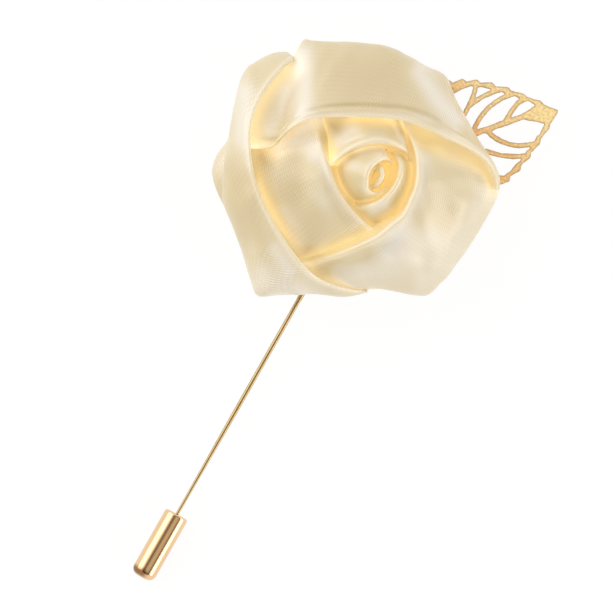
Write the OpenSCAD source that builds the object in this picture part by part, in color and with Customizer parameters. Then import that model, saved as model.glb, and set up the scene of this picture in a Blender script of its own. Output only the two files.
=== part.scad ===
/* [Rose] */
// Thickness of the satin walls
petal_wall = 1.0; // [1:0.1:1.2]
// Turn of the rose about its own axis, against the needle
rose_turn = 29.6; // [0:0.1:90]
// Height of the petals' sewn foot above the back of the pad
foot_z = 3.3; // [3.2:0.1:3.6]

/* [Backing] */
// Radius of the round pad behind the rose
backing_r = 13; // [12:0.5:15]
// Thickness of the round pad
backing_h = 2.6; // [2.6:0.1:2.8]

/* [Pin] */
// Height of the needle's axis above the resting face
needle_z = 2.1; // [2.1:0.05:2.2]
// Radius of the needle's head end, hidden by the rose
head_r = 0.45; // [0.42:0.01:0.45]
// Radius of the needle's straight shank
shank_r = 0.4; // [0.35:0.05:0.4]
// Radius of the needle where the clutch grips it
grip_r = 0.28; // [0.25:0.01:0.32]
// Distance from the rose's axis to the point
needle_length = 72; // [70:0.5:74]
// Radius of the pad soldered on the needle's head
pad_r = 5; // [4:0.5:6]

/* [Clutch] */
// Outer radius of the clutch
clutch_r = 2.1; // [2:0.05:2.1]
// Length of the clutch
clutch_length = 12.1; // [11:0.1:13]
// Distance from the rose's axis to the clutch's mouth
clutch_mouth = 64.9; // [64:0.1:66]

/* [Leaf] */
// Length of the leaf along its midrib
leaf_length = 38; // [36:0.5:40]
// Thickness of the leaf's sheet
leaf_wall = 0.4; // [0.3:0.05:0.5]
// Width of a vein
vein_w = 0.65; // [0.5:0.05:0.8]

/* [Hidden] */

satin = "#efe3c8";
satin_deep = "#ecd79c";
gold = "#d9a866";
gold_bright = "#c9a063";
felt = "#f2ead6";

// Middle of the rose's outline, seen from the needle's axis
rose_at = [-2.7, 0, 0];
// The sewn feet run round this point of the rose's own frame
base_at = [2.3, -1.3];
// Stations built between two rows of a petal's table
steps = 2;
// Points along a section: inner wall, rolled rim, face, underside
wall_pts = 2;
rim_pts = 3;
face_pts = 5;
under_pts = 3;
// How far the inner wall leans in under the face, for each mm of its depth
wall_lean = 0.3;
// A wall thins at the petals' narrow tips, to this share of the section's width
tip_share = 0.38;
// The rim's roll is this much rounder than the wall is thick
rim_ease = 0.05;
// Handles of the face's curve: share of its width at the rim, share of its drop at the edge
face_reach = 0.4;
face_drop = 0.45;
// How far the underside drops straight down from the edge, as a share of its height
under_drop = 0.6;
// The sewn feet stand on rings round the base, a ring for each layer from the bud outwards.
// Columns: radius, height, sag of the underside (0.5 is the flattest)
feet = [
    [ 4.7, foot_z,            0.25],
    [ 5.9, foot_z,            0.25],
    [ 7.1, foot_z,            0.25],
    [ 8.3, foot_z,            0.25],
    [ 9.5, foot_z,            0.28],
    [10.7, foot_z,            0.32],
    [11.9, backing_h + 0.25,  0.45],
    [13.4, backing_h - 2.2,   0.45],
];

// The roll in the middle of the bud: its place, turn, top, and the hollow down its middle
core_at = [3.65, -1.5];
core_turn = 68;
core_half = 0.6;
core_foot_r = 0.8;
core_r = 1.05;
core_wall = 0.5;
core_top = 19.4;
core_depth = 6;
core_tip_r = 0.15;
// A cut runs this far past the face it opens
past = 0.01;

// Room round the pin in its channel
play = 0.15;
pad_h = 0.45;
// The needle's head end, where it steps down to its shank, where the shank starts to taper,
// and the stretch that is gripped
head_l = 4;
head_end = 23.5;
shank_start = 24;
shank_end = 46;
grip_start = 61;
grip_end = 69;

// The clutch's bore, its dished mouth, its rolled lip and its round nose
bore_r = grip_r + 0.05;
bore_depth = 8.4;
bore_cone = 0.3;
mouth_depth = 1.1;
mouth_r = 1.0;
mouth_h = 0.15;
lip_r = 0.5;
nose_r = 1.3;

// Place of the leaf's tip in the rose's frame, and the turn of its midrib
leaf_tip = [34, 9.6];
leaf_turn = 17.8;
// The leaf is widest this far back from its tip, and its two halves differ a little
leaf_belly = 17;
leaf_upper = 10.2;
leaf_lower = 9.6;
leaf_teeth = 16;
tooth_h = 0.8;
tooth_run = 0.2;
margin_w = 0.9;
// The pointed ends of the open middle are pulled in this many margins
tip_pull = 3;
base_pull = 2;
// Half widths of the midrib at the base and before the tip, how far it leans to the upper
// side there, and the solid tip
rib_base = 0.6;
rib_end = 0.4;
rib_lean = 0.9;
tip_l = 6;
tip_half = 2.8;
// Radii on the teeth and in the corners of the openings
tooth_r = 0.3;
opening_r = 0.22;
// The leaf lies this far over the pad
leaf_gap = 0.05;
// Stations along a vein between two of its points
vein_steps = 3;
// Veins of the leaf: points from the midrib to the margin, with the midrib along x
veins = [
    [[29.0, 1.0], [30.6, 2.4], [32.2, 3.4], [33.8, 3.5], [35.6, 2.6]],
    [[23.0, 0.7], [24.6, 2.4], [26.4, 3.7], [28.4, 4.6], [30.4, 5.0], [33.0, 4.9]],
    [[17.4, 0.5], [20.4, 2.4], [22.8, 4.2], [24.6, 6.0], [25.8, 7.6], [26.8, 9.2]],
    [[23.8, 5.2], [26.0, 6.0], [28.0, 6.3], [30.8, 6.4]],
    [[11.6, 0.3], [15.0, 2.8], [18.0, 5.4], [20.4, 8.0], [21.4, 10.4]],
    [[20.4, 7.8], [22.4, 8.5], [24.6, 8.8], [27.0, 8.8]],
    [[6.0, 0.0], [9.4, 2.8], [12.4, 5.6], [14.6, 9.6]],
    [[13.2, 6.4], [16.0, 8.2], [18.0, 10.2]],
    [[25.4, 0.8], [26.6, -1.1], [28.2, -2.6], [30.0, -3.5], [32.4, -4.0]],
    [[19.4, 0.4], [22.2, -1.2], [24.8, -3.0], [26.9, -4.3], [29.4, -5.2], [31.4, -5.6]],
    [[13.3, 0.2], [16.6, -1.8], [19.4, -4.0], [22.4, -6.2], [26.4, -8.2]],
    [[18.4, -3.2], [20.0, -6.0], [22.0, -9.4]],
    [[7.8, 0.0], [11.0, -2.4], [14.0, -5.2], [16.4, -9.4]],
    [[13.0, -4.2], [16.4, -6.4], [19.4, -9.4]],
    [[3.4, 0.0], [6.0, -2.4], [9.0, -6.4]],
];

// Petal tables, in the rose's own frame. One row is one section through the petal, from
// its folded rim to its outer edge. Columns: rim x, y, z, edge x, y, z, slope of the face
// at the rim, depth of the inner wall, share of the underside that is there.
outer_left_rows = [
    [  1.2, -20.2,  9.8,   1.2, -21.2,  6.2, 45, 0.6, 1.0],
    [ -1.2, -19.9, 11.2,  -2.2, -21.5,  6.2, 45, 0.9, 1.0],
    [ -4.0, -19.2, 13.2,  -7.0, -21.0,  6.4, 42, 1.2, 1.0],
    [ -6.2, -18.2, 15.0, -12.8, -21.2,  6.6, 38, 1.6, 1.0],
    [ -7.8, -16.9, 16.4, -16.2, -21.3,  6.8, 34, 2.0, 1.0],
    [ -9.3, -15.2, 17.3, -17.4, -18.8,  7.2, 30, 2.4, 1.0],
    [-11.2, -12.6, 17.8, -18.8, -14.2,  8.0, 28, 2.8, 1.0],
    [-13.3,  -9.2, 18.0, -20.4,  -9.8,  8.8, 28, 3.0, 1.0],
    [-15.3,  -5.2, 18.0, -22.1,  -5.2,  9.4, 28, 3.0, 1.0],
    [-16.7,  -1.2, 18.0, -21.9,   0.2,  9.6, 30, 3.0, 1.0],
    [-17.3,   2.7, 18.0, -21.0,   5.8,  9.4, 35, 2.0, 1.0],
    [-17.3,   6.5, 17.8, -20.2,  10.2,  9.0, 40, 1.6, 1.0],
    [-16.3,  10.2, 17.2, -19.0,  15.0,  8.6, 40, 1.6, 1.0],
    [-14.3,  13.6, 16.0, -16.8,  17.6,  8.2, 40, 1.4, 1.0],
    [-11.8,  16.6, 14.2, -13.6,  19.2,  8.0, 40, 1.0, 1.0],
    [-10.0,  18.1, 12.2, -11.2,  19.4,  8.0, 40, 0.8, 1.0],
];
outer_top_rows = [
    [-17.2,   3.2, 14.8, -10.0,  17.4, 10.4, 20, 0.6, 1.0],
    [-15.5,   3.2, 15.6,  -8.7,  21.3,  8.6, 20, 0.8, 1.0],
    [-13.8,   3.3, 16.6,  -7.2,  21.3,  8.6, 20, 1.2, 1.0],
    [-12.5,   4.7, 17.3,  -5.5,  21.2,  8.6, 20, 1.8, 1.0],
    [-10.8,   6.4, 18.3,  -3.6,  21.1,  8.6, 20, 2.0, 1.0],
    [ -8.3,   7.7, 19.0,  -0.8,  21.1,  8.6, 20, 2.2, 1.0],
    [ -5.0,   8.3, 19.3,   2.2,  20.8,  8.6, 20, 2.2, 1.0],
    [ -0.8,   8.4, 19.3,   5.2,  20.4,  8.6, 20, 2.2, 1.0],
    [  3.8,   8.2, 19.2,   8.4,  18.9,  8.4, 20, 2.2, 1.0],
    [  8.3,   7.7, 18.8,  11.8,  17.1,  8.0, 22, 2.2, 1.0],
    [ 12.2,   6.2, 18.0,  15.3,  15.2,  7.6, 24, 2.0, 1.0],
    [ 15.3,   4.7, 16.8,  16.8,  11.4,  7.4, 28, 1.8, 1.0],
    [ 18.0,   3.5, 15.3,  18.8,   7.7,  7.6, 32, 1.5, 0.5],
    [ 20.5,   1.9, 13.6,  21.4,   3.6,  8.8, 36, 1.2, 0.15],
    [ 22.2,   0.2, 12.3,  23.2,   0.8,  9.2, 40, 0.7, 0.1],
    [ 23.1,  -1.8, 11.2,  24.1,  -1.8,  9.2, 40, 0.5, 0.1],
    [ 23.3,  -3.6, 10.4,  24.1,  -3.6,  9.0, 40, 0.4, 0.05],
];
outer_right_rows = [
    [  7.8,   8.0, 13.2,  18.0,   5.0,  9.0, 30, 1.0, 1.0],
    [  8.3,   6.6, 15.0,  20.4,   2.9,  8.0, 30, 1.4, 1.0],
    [  9.5,   4.7, 17.0,  22.9,  -0.3,  6.8, 28, 2.4, 1.0],
    [ 10.6,   2.2, 18.3,  24.0,  -3.8,  6.2, 26, 4.5, 1.0],
    [ 10.9,  -0.3, 18.8,  22.6,  -7.2,  6.4, 24, 5.0, 1.0],
    [ 10.5,  -3.0, 19.0,  20.8, -10.3,  6.6, 24, 5.0, 1.0],
    [  9.5,  -5.2, 19.0,  18.8, -13.5,  6.8, 24, 4.5, 1.0],
    [  7.8,  -7.6, 19.0,  16.7, -16.3,  7.0, 26, 4.0, 1.0],
    [  5.8,  -9.3, 19.0,  14.5, -18.9,  7.0, 28, 3.5, 1.0],
    [  3.7, -11.0, 18.7,  12.3, -21.1,  7.0, 32, 3.0, 1.0],
    [  1.5, -12.2, 18.3,   9.8, -21.2,  7.2, 36, 3.0, 1.0],
    [ -0.8, -13.2, 17.7,   7.2, -20.7,  7.6, 40, 3.0, 1.0],
    [ -3.3, -14.2, 16.7,   4.2, -20.1,  8.0, 40, 2.6, 1.0],
    [ -5.8, -15.0, 15.2,   1.8, -20.0,  8.4, 38, 2.0, 1.0],
    [ -8.0, -15.8, 13.4,  -1.7, -19.4,  8.4, 34, 1.4, 1.0],
    [ -9.7, -16.2, 12.2,  -5.0, -18.8,  8.4, 30, 1.0, 1.0],
];
inner_left_rows = [
    [  4.0, -10.8, 14.8,  -5.0, -15.6, 10.4, 15, 1.4, 1.0],
    [  2.3,  -9.6, 16.6,  -8.4, -15.6, 10.6, 15, 2.0, 1.0],
    [  0.5,  -8.0, 17.8, -10.9, -14.3, 11.1, 15, 2.2, 1.0],
    [ -1.3,  -5.9, 18.4, -13.2, -12.0, 11.7, 15, 2.2, 1.0],
    [ -2.8,  -3.5, 18.6, -15.2,  -9.0, 12.2, 15, 2.4, 1.0],
    [ -4.0,  -0.5, 18.4, -16.6,  -5.6, 12.8, 15, 2.4, 1.0],
    [ -4.9,   2.2, 17.8, -17.4,  -2.3, 12.6, 15, 2.2, 1.0],
    [ -5.7,   4.7, 16.8, -17.6,   1.0, 11.8, 15, 2.0, 1.0],
    [ -6.3,   7.2, 15.0, -17.0,   4.2, 10.6, 15, 1.6, 1.0],
    [ -6.7,   9.0, 13.2, -15.8,   6.6,  9.8, 15, 1.2, 1.0],
];
inner_top_rows = [
    [ -4.5,  -0.6, 13.6,  -4.8,   7.4,  9.4, 40, 1.2, 1.0],
    [ -4.0,   0.3, 16.0,  -3.9,   8.5, 11.2, 40, 1.6, 1.0],
    [ -2.8,   1.4, 18.0,  -2.6,   9.0, 12.4, 40, 2.0, 1.0],
    [ -1.2,   2.6, 19.2,  -0.8,   9.3, 12.8, 38, 2.4, 1.0],
    [  0.8,   3.5, 19.8,   1.2,   9.4, 13.0, 36, 2.4, 1.0],
    [  3.0,   4.0, 20.0,   3.2,   9.4, 13.0, 36, 2.4, 1.0],
    [  5.2,   4.0, 19.8,   5.0,   9.2, 12.8, 36, 2.4, 1.0],
    [  7.0,   3.4, 19.0,   6.4,   8.4, 12.0, 38, 2.0, 1.0],
    [  8.4,   2.6, 17.7,   7.5,   7.0, 10.8, 40, 1.2, 1.0],
    [  9.1,   1.6, 16.2,   8.3,   5.4, 10.2, 40, 0.5, 1.0],
];
inner_right_rows = [
    [  5.7,   3.0, 13.6,   7.8,   3.5, 10.6, 40, 1.0, 1.0],
    [  6.6,   2.2, 16.7,   8.8,   2.0, 11.6, 40, 1.8, 1.0],
    [  7.2,   0.8, 18.3,   9.5,   0.2, 12.4, 40, 2.5, 1.0],
    [  7.2,  -0.8, 18.8,   9.4,  -2.2, 12.6, 40, 3.0, 1.0],
    [  6.7,  -2.3, 19.0,   8.6,  -4.6, 12.8, 38, 3.0, 1.0],
    [  5.7,  -3.8, 18.8,   7.2,  -6.6, 12.8, 34, 3.0, 1.0],
    [  4.2,  -5.2, 18.4,   5.3,  -8.2, 12.6, 30, 2.8, 1.0],
    [  2.3,  -6.0, 17.4,   3.0,  -9.2, 12.0, 28, 2.4, 1.0],
    [  0.5,  -6.3, 15.4,   0.8,  -9.0, 11.2, 28, 1.6, 1.0],
    [ -1.2,  -5.8, 13.6,  -1.2,  -8.4, 10.6, 28, 1.0, 1.0],
];
bud_wrap_rows = [
    [  5.0,  -3.4, 16.0,   4.0,  -4.6, 12.0, 40, 1.5, 1.0],
    [  4.0,  -3.9, 17.6,   2.4,  -5.3, 12.2, 35, 2.5, 1.0],
    [  2.9,  -4.0, 19.0,   0.2,  -5.0, 12.2, 30, 3.5, 1.0],
    [  2.3,  -3.5, 19.8,  -1.4,  -3.7, 12.2, 25, 4.0, 1.0],
    [  2.2,  -2.7, 20.3,  -2.3,  -2.2, 12.2, 25, 4.5, 1.0],
    [  2.2,  -1.7, 20.6,  -2.5,  -0.5, 12.2, 25, 4.5, 1.0],
    [  2.5,  -0.7, 20.6,  -1.9,   1.0, 12.4, 25, 4.5, 1.0],
    [  3.0,   0.1, 20.4,  -0.4,   2.1, 12.8, 25, 4.5, 1.0],
    [  3.8,   0.8, 20.0,   1.8,   2.8, 13.2, 30, 4.0, 1.0],
    [  4.8,   1.3, 19.3,   3.8,   2.9, 13.4, 35, 3.0, 1.0],
    [  6.0,   1.1, 18.0,   5.1,   2.5, 14.0, 40, 2.0, 1.0],
];
back_left_rows = [
    [-18.4,  -6.2,  5.4, -21.6,  -6.8,  3.2, 10, 0.6, 1.0],
    [-19.2,  -4.0,  5.7, -23.0,  -4.0,  3.2, 10, 0.6, 1.0],
    [-19.6,  -1.8,  5.8, -23.8,  -1.4,  3.2, 10, 0.6, 1.0],
    [-19.8,   0.2,  5.8, -23.8,   0.2,  3.2, 10, 0.6, 1.0],
    [-19.4,   2.4,  5.8, -23.0,   2.4,  3.2, 10, 0.6, 1.0],
    [-18.8,   5.0,  5.8, -21.4,   4.6,  3.2, 10, 0.6, 1.0],
    [-18.6,   7.4,  5.7, -20.6,   6.6,  3.2, 10, 0.6, 1.0],
];

function unit(v) = v / norm(v);

function bezier(a, b, c, d, t) =
    pow(1 - t, 3) * a + 3 * pow(1 - t, 2) * t * b + 3 * (1 - t) * t * t * c + pow(t, 3) * d;

// A row between two rows of a table, on a smooth curve through them all. A vein's points
// make such a table too
function row_at(rows, s) =
    let (last = len(rows) - 1,
         i = min(floor(s), last - 1),
         f = s - i,
         p0 = rows[max(i - 1, 0)],
         p1 = rows[i],
         p2 = rows[i + 1],
         p3 = rows[min(i + 2, last)])
    0.5 * (2 * p1 + (p2 - p0) * f + (2 * p0 - 5 * p1 + 4 * p2 - p3) * f * f
           + (3 * p1 - p0 - 3 * p2 + p3) * f * f * f);

// Wall thickness of a row's section
function wall_of(row) =
    min(petal_wall, tip_share * norm([row[3] - row[0], row[4] - row[1]]));

// The visible side of one section: up the inner wall, over the rolled rim, down the face to
// the edge, and back under to the sewn foot
function section(row, foot_row) =
    let (rim = [row[0], row[1]],
         edge = [row[3], row[4]],
         out = unit(edge - rim),
         width = norm(edge - rim),
         rim_z = row[2],
         edge_z = row[5],
         slope = row[6],
         depth = row[7],
         roll = wall_of(row) + rim_ease,
         foot = base_at + foot_row[0] * unit(edge - base_at),
         foot_h = foot_row[1],
         sag = foot_row[2],
         face_start = [roll + roll * sin(slope), rim_z - roll + roll * cos(slope)],
         face_end = [width, edge_z],
         reach = face_reach * (width - face_start[0]),
         drop = face_start[1] - edge_z,
         profile = concat(
             [for (i = [0:wall_pts - 1])
                 let (down = depth * (1 - i / wall_pts))
                 [wall_lean * down, rim_z - roll - down]],
             [for (i = [0:rim_pts])
                 let (a = 180 - i * (90 + slope) / rim_pts)
                 [roll + roll * cos(a), rim_z - roll + roll * sin(a)]],
             [for (i = [1:face_pts])
                 bezier(face_start, face_start + reach * [cos(slope), -sin(slope)],
                        face_end + [0, face_drop * drop], face_end, i / face_pts)]))
    concat(
        [for (p = profile) [rim[0] + out[0] * p[0], rim[1] + out[1] * p[0], p[1]]],
        [for (i = [1:under_pts])
            let (fall = edge_z - foot_h, mid = foot + sag * (edge - foot))
            bezier([edge[0], edge[1], edge_z],
                   [edge[0], edge[1], edge_z - under_drop * fall],
                   [mid[0], mid[1], foot_h + (0.5 - sag) * fall],
                   [foot[0], foot[1], foot_h], row[8] * i / under_pts)]);

// Direction out of the grid's surface at one point
function grid_normal(g, i, j) =
    let (along = g[min(i + 1, len(g) - 1)][j] - g[max(i - 1, 0)][j],
         across = g[i][min(j + 1, len(g[0]) - 1)] - g[i][max(j - 1, 0)])
    unit(cross(along, across));

// One petal: its table lofted into a grid, with the wall's thickness put on inside
module petal(rows, foot_row) {
    stations = steps * (len(rows) - 1);
    sections = [for (s = [0:stations]) row_at(rows, s / steps)];
    skin = [for (r = sections) section(r, foot_row)];
    n = len(skin[0]);
    m = len(skin);
    lining = [for (i = [0:m - 1])
        [for (j = [0:n - 1]) skin[i][j] - wall_of(sections[i]) * grid_normal(skin, i, j)]];
    points = concat([for (r = skin) each r], [for (r = lining) each r]);
    in = m * n;
    quads = concat(
        [for (i = [0:m - 2], j = [0:n - 2])
            [i * n + j, i * n + j + 1, (i + 1) * n + j + 1, (i + 1) * n + j]],
        [for (i = [0:m - 2], j = [0:n - 2])
            [in + i * n + j, in + (i + 1) * n + j, in + (i + 1) * n + j + 1, in + i * n + j + 1]],
        [for (j = [0:n - 2]) [j, in + j, in + j + 1, j + 1]],
        [for (j = [0:n - 2])
            [(m - 1) * n + j, (m - 1) * n + j + 1, in + (m - 1) * n + j + 1, in + (m - 1) * n + j]],
        [for (i = [0:m - 2]) [i * n, (i + 1) * n, in + (i + 1) * n, in + i * n]],
        [for (i = [0:m - 2])
            [i * n + n - 1, in + i * n + n - 1, in + (i + 1) * n + n - 1, (i + 1) * n + n - 1]]);
    faces = [for (q = quads) each [[q[0], q[1], q[2]], [q[0], q[2], q[3]]]];
    polyhedron(points = points, faces = faces);
}

// Puts a piece of the rose from the rose's own frame into the pin's frame
module on_pin() {
    translate(rose_at) rotate(rose_turn) children();
}

module petal_outer_left() {
    color(satin) on_pin() petal(outer_left_rows, feet[6]);
}

module petal_outer_top() {
    color(satin) on_pin() petal(outer_top_rows, feet[5]);
}

module petal_outer_right() {
    color(satin) on_pin() petal(outer_right_rows, feet[4]);
}

module petal_inner_left() {
    color(satin) on_pin() petal(inner_left_rows, feet[3]);
}

module petal_inner_top() {
    color(satin) on_pin() petal(inner_top_rows, feet[2]);
}

module petal_inner_right() {
    color(satin_deep) on_pin() petal(inner_right_rows, feet[1]);
}

module bud_wrap() {
    color(satin) on_pin() petal(bud_wrap_rows, feet[0]);
}

module petal_back_left() {
    color(satin) on_pin() petal(back_left_rows, feet[7]);
}

// Two cones side by side, blended into one slanted oval roll
module oval_roll(r_low, r_high, h) {
    hull() for (side = [-1, 1])
        translate([side * core_half, 0, 0]) cylinder(r1 = r_low, r2 = r_high, h = h, $fn = 24);
}

module bud_core() {
    color(satin_deep) on_pin() translate([core_at[0], core_at[1], foot_z]) rotate(core_turn)
        difference() {
            oval_roll(core_foot_r, core_r, core_top - foot_z);
            translate([0, 0, core_top - foot_z - core_depth])
                oval_roll(core_tip_r, core_r - core_wall, core_depth + past);
        }
}

// Runs a profile of radius and distance along the needle's axis, away from the rose
module along_needle() {
    translate([0, 0, needle_z]) rotate([90, 0, 0]) rotate_extrude($fn = 64) children();
}

module backing_disc() {
    color(felt) difference() {
        cylinder(r = backing_r, h = backing_h, $fn = 96);
        translate([0, 0, needle_z - play]) cylinder(r = pad_r + play, h = backing_h, $fn = 96);
        translate([-head_r - play, -backing_r - past, needle_z - head_r - play])
            cube([2 * (head_r + play), backing_r + past + head_l + play, backing_h]);
    }
}

module stick_pin() {
    color(gold) {
        along_needle() polygon([
            [0, -head_l], [head_r, -head_l], [head_r, head_end], [shank_r, shank_start],
            [shank_r, shank_end], [grip_r, grip_start], [grip_r, grip_end],
            [0, needle_length]]);
        translate([0, 0, needle_z]) cylinder(r = pad_r, h = pad_h, $fn = 96);
    }
}

module pin_clutch() {
    color(gold_bright) along_needle() translate([0, clutch_mouth]) polygon(concat(
        [[0, bore_depth + bore_cone], [bore_r, bore_depth], [bore_r, mouth_depth], [mouth_r, mouth_h]],
        [for (a = [150:-30:0]) [clutch_r - lip_r + lip_r * cos(a), lip_r - lip_r * sin(a)]],
        [for (a = [0:15:90]) [clutch_r - nose_r + nose_r * cos(a),
                              clutch_length - nose_r + nose_r * sin(a)]],
        [[0, clutch_length]]));
}

// Half width of the leaf at a distance back from its tip
function leaf_half(back) =
    back < leaf_belly ? sin(90 * back / leaf_belly)
                      : cos(90 * (back - leaf_belly) / (leaf_length - leaf_belly + 1));

// Margin of one side of the leaf, with teeth that point to the tip
function leaf_margin(side, reach, inset, tooth) =
    [for (i = [1:leaf_teeth])
        let (back = i * leaf_length / (leaf_teeth + 1), w = reach * leaf_half(back) - inset)
        if (w > tooth)
            each [[leaf_length - back + tooth_run, side * (w - tooth / 2)],
                  [leaf_length - back - tooth_run, side * (w + tooth / 2)]]];

// Flat bar of one width along a list of points
module bar(pts, w) {
    last = len(pts) - 1;
    sides = [for (i = [0:last])
        let (d = unit(pts[min(i + 1, last)] - pts[max(i - 1, 0)])) w / 2 * [-d[1], d[0]]];
    polygon(concat([for (i = [0:last]) pts[i] + sides[i]],
                   [for (i = [last:-1:0]) pts[i] - sides[i]]));
}

module leaf_outline(inset, tooth) {
    upper = leaf_margin(1, leaf_upper, inset, tooth);
    lower = leaf_margin(-1, leaf_lower, inset, tooth);
    polygon(concat([[leaf_length - tip_pull * inset, 0]], upper, [[base_pull * inset, 0]],
                   [for (i = [len(lower) - 1:-1:0]) lower[i]]));
}

// A flat shape with its outward corners rounded
module rounded(r) {
    offset(r = r, $fn = 12) offset(delta = -r) children();
}

module leaf() {
    color(gold) on_pin()
        translate([leaf_tip[0], leaf_tip[1], backing_h + leaf_gap]) rotate(leaf_turn)
        translate([-leaf_length, 0, 0]) linear_extrude(leaf_wall) difference() {
            rounded(tooth_r) leaf_outline(0, tooth_h);
            rounded(opening_r) difference() {
                leaf_outline(margin_w, 0);
                polygon([[0, rib_base], [0, -rib_base],
                         [leaf_length - tip_l, rib_lean - rib_end],
                         [leaf_length, -tip_half], [leaf_length, tip_half],
                         [leaf_length - tip_l, rib_lean + rib_end]]);
                for (v = veins)
                    bar([for (i = [0:vein_steps * (len(v) - 1)]) row_at(v, i / vein_steps)],
                        vein_w);
            }
        }
}

backing_disc();
stick_pin();
pin_clutch();
leaf();
bud_core();
bud_wrap();
petal_inner_right();
petal_inner_top();
petal_inner_left();
petal_outer_right();
petal_outer_top();
petal_outer_left();
petal_back_left();
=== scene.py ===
from math import radians, sin, cos, pi

import bmesh
import bpy
import numpy as np
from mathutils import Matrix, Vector


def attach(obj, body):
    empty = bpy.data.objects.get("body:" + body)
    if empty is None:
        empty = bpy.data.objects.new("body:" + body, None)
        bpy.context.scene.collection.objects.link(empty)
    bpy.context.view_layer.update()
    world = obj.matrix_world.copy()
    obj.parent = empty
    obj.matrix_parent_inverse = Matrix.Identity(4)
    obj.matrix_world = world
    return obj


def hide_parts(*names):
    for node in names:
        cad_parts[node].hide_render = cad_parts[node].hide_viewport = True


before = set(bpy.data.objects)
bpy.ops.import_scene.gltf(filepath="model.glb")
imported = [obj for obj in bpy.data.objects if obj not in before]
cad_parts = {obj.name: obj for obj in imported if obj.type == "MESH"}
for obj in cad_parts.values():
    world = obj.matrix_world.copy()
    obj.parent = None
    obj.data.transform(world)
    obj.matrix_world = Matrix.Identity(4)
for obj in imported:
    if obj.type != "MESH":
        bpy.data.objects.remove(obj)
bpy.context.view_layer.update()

MM = 0.001


# Needle
# The straight needle and the round pad soldered on its head are one gold plated piece.
# The drawn wire keeps fine lines along its length, and the plating is a little uneven.

def new_material(name):
    """A material with its node tree and its shader."""
    material = bpy.data.materials.new(name)
    material.use_nodes = True
    return material, material.node_tree, material.node_tree.nodes["Principled BSDF"]


def set_inputs(node, inputs):
    """Gives a node's inputs plain values, or links them to other nodes' outputs."""
    for key, value in inputs.items():
        if isinstance(value, bpy.types.NodeSocket):
            node.id_data.links.new(value, node.inputs[key])
        else:
            node.inputs[key].default_value = value


def add_node(tree, kind, inputs=None, **settings):
    node = tree.nodes.new("ShaderNode" + kind)
    for key, value in settings.items():
        setattr(node, key, value)
    set_inputs(node, inputs or {})
    return node


def object_place(tree):
    return add_node(tree, "TexCoord").outputs["Object"]


def mapped(tree, value, from_range=(0, 1), to_range=(0, 1)):
    """A value carried from one range to another, and held at its ends."""
    node = add_node(tree, "MapRange", {
        "Value": value, "From Min": from_range[0], "From Max": from_range[1],
        "To Min": to_range[0], "To Max": to_range[1]})
    return node.outputs["Result"]


def blended(tree, share, first, second):
    """A colour that goes from the first to the second as the share rises."""
    node = add_node(tree, "Mix", {"Factor": share, "A": first, "B": second},
                    data_type="RGBA")
    return node.outputs["Result"]


def dress(obj, material):
    obj.data.materials.clear()
    obj.data.materials.append(material)


def plating_group():
    """Uneven gold plating: a cloudy mask for colour and roughness, and fine drawn lines."""
    tree = bpy.data.node_groups.new("gold_plating", "ShaderNodeTree")
    for name, way in (("Cloud size", "INPUT"), ("Line size", "INPUT"),
                      ("Cloud", "OUTPUT"), ("Height", "OUTPUT")):
        tree.interface.new_socket(name, in_out=way, socket_type="NodeSocketFloat")
    sizes = tree.nodes.new("NodeGroupInput").outputs
    place = object_place(tree)
    cloud = add_node(tree, "TexNoise", {
        "Vector": place, "Scale": sizes["Cloud size"], "Detail": 3.0})
    long_way = (1.0, 0.03, 1.0)
    along = add_node(tree, "Mapping", {"Vector": place, "Scale": long_way})
    drawn = add_node(tree, "TexNoise", {
        "Vector": along.outputs["Vector"], "Scale": sizes["Line size"], "Detail": 2.0})
    set_inputs(tree.nodes.new("NodeGroupOutput"), {
        "Cloud": cloud.outputs["Fac"], "Height": drawn.outputs["Fac"]})
    return tree


plating = plating_group()
plating_relief = 0.02 * MM


def polished_gold(name, light, deep, roughness, cloud_size, line_size, bump):
    """Plating that wanders between two colours and two roughnesses."""
    material, tree, shader = new_material(name)
    uneven = add_node(tree, "Group", {"Cloud size": cloud_size, "Line size": line_size},
                      node_tree=plating)
    cloud = uneven.outputs["Cloud"]
    relief = add_node(tree, "Bump", {
        "Height": uneven.outputs["Height"], "Strength": bump, "Distance": plating_relief})
    set_inputs(shader, {
        "Base Color": blended(tree, cloud, light, deep),
        "Roughness": mapped(tree, cloud, to_range=roughness),
        "Normal": relief.outputs["Normal"],
        "Metallic": 1.0})
    return material


needle_gold = polished_gold(
    "needle_gold", light=(0.53, 0.39, 0.20, 1), deep=(0.43, 0.31, 0.14, 1),
    roughness=(0.16, 0.34), cloud_size=260, line_size=5200, bump=0.5)
dress(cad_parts["stick_pin"], needle_gold)


# Felt backing
# A round pad of pressed felt glued behind the rose. The needle's head lies in a pocket
# in its upper face, and its cut edge is slightly fuzzy.

def pick_none():
    bpy.ops.object.select_all(action="DESELECT")


def make_active(obj):
    pick_none()
    obj.select_set(True)
    bpy.context.view_layer.objects.active = obj


def apply_modifier(obj, kind, **values):
    make_active(obj)
    modifier = obj.modifiers.new(kind.lower(), kind)
    for key, value in values.items():
        setattr(modifier, key, value)
    bpy.ops.object.modifier_apply(modifier=modifier.name)


def apply_place(obj):
    make_active(obj)
    bpy.ops.object.transform_apply(location=True, rotation=True, scale=True)


def cut_away(obj, tool):
    apply_modifier(obj, "BOOLEAN", operation="DIFFERENCE", object=tool, solver="EXACT")
    bpy.data.objects.remove(tool, do_unlink=True)


felt_r = 13 * MM
felt_h = 2.6 * MM
felt_sides = 96
pocket_r = 5.15 * MM
pocket_floor = 1.95 * MM
groove_half = 0.6 * MM
groove_floor = 1.5 * MM
groove_y = -felt_r / 2 + 2 * MM
groove_length = felt_r + 4.3 * MM

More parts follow.
